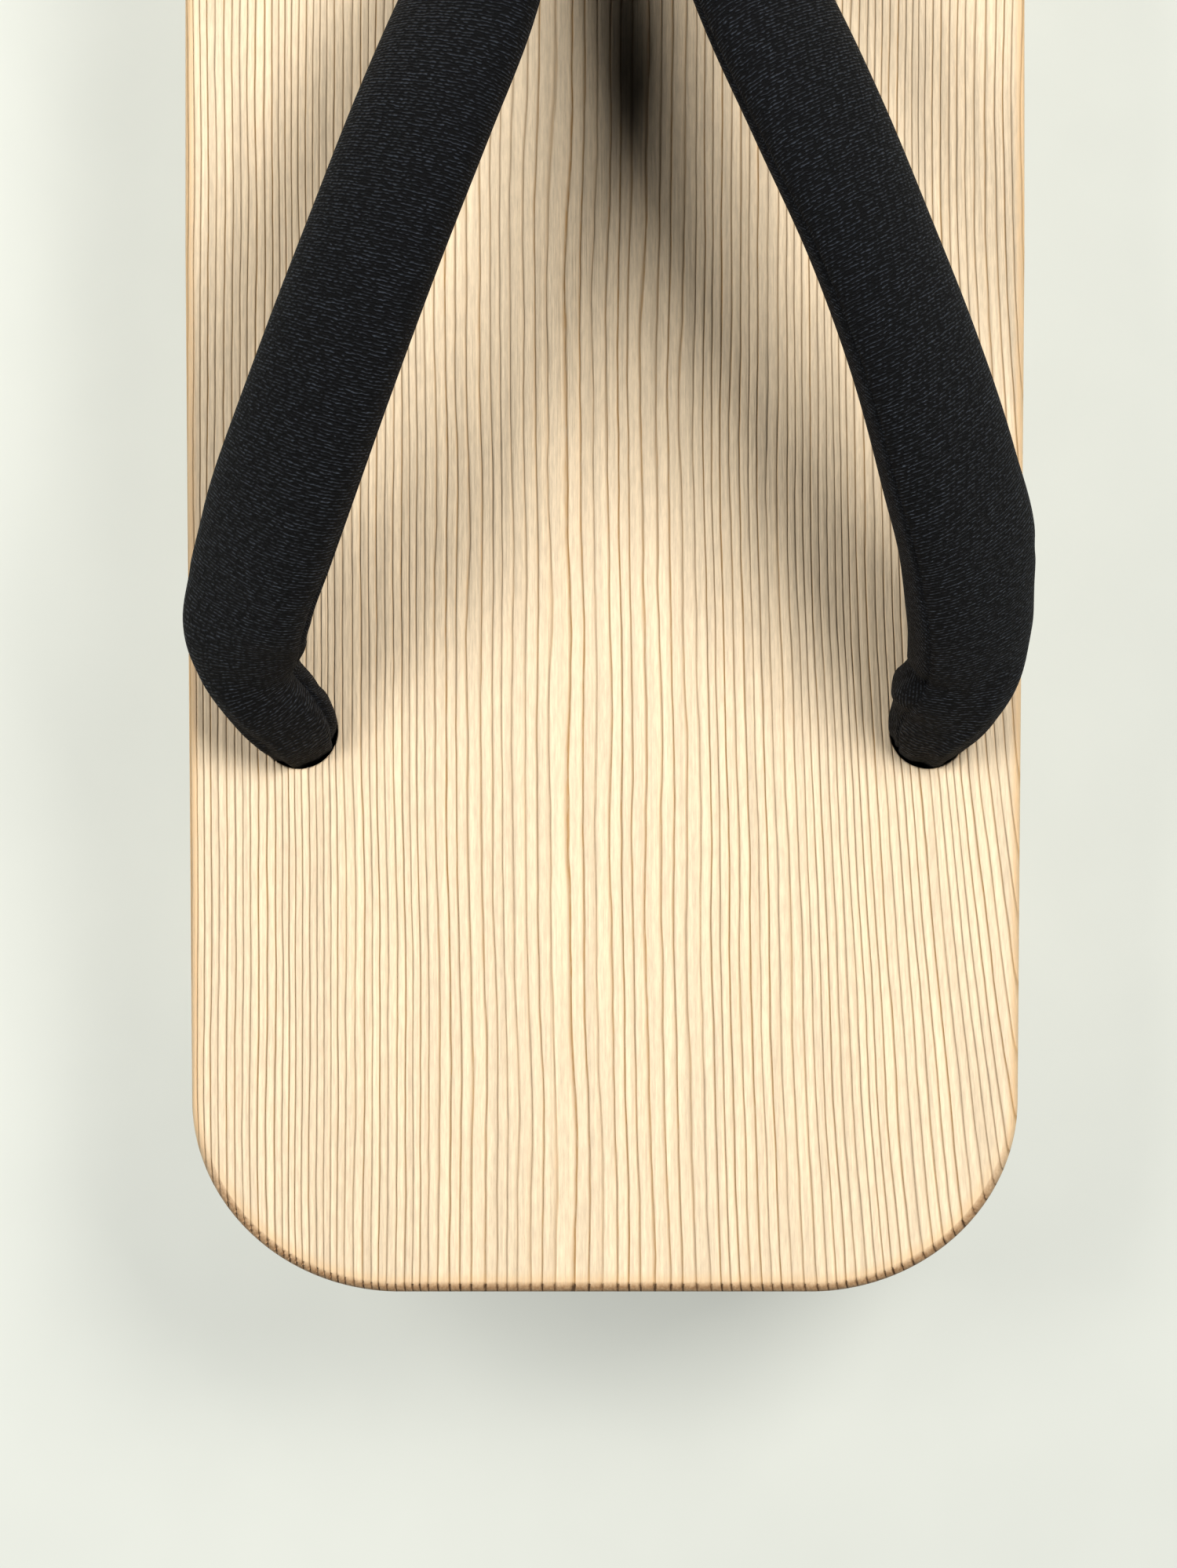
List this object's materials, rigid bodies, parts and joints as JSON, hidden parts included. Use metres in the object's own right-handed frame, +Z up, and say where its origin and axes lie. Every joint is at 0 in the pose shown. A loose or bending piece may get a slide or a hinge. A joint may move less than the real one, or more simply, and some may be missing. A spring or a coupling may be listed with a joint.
{
  "type": "geta sandal",
  "caption": "Wooden geta sandal: a straight-grained cedar deck on cross teeth, with a stuffed black V strap held by a toe post and knots under the deck.",
  "frame": {"origin": "on the floor under the middle of the deck, between the teeth", "axes": "+Z up, +Y towards the toe, +X towards the wearer's right"},
  "size_m": [0.105, 0.26, 0.0879],
  "materials": {
    "deck_wood": "bare straight-grained cedar, brushed so that the grain stands in fine ridges",
    "tooth_wood": "bare planed cedar",
    "strap_cloth": "black crepe over soft filling",
    "post_cloth": "black plain cloth",
    "knot_cord": "twisted cord"
  },
  "bodies": {
    "root": {"deck": "deck_wood", "front_tooth": "tooth_wood", "rear_tooth": "tooth_wood", "strap": "strap_cloth", "toe_post": "post_cloth", "knot_left": "knot_cord", "knot_right": "knot_cord", "knot_front": "knot_cord"}
  },
  "joints": []
}
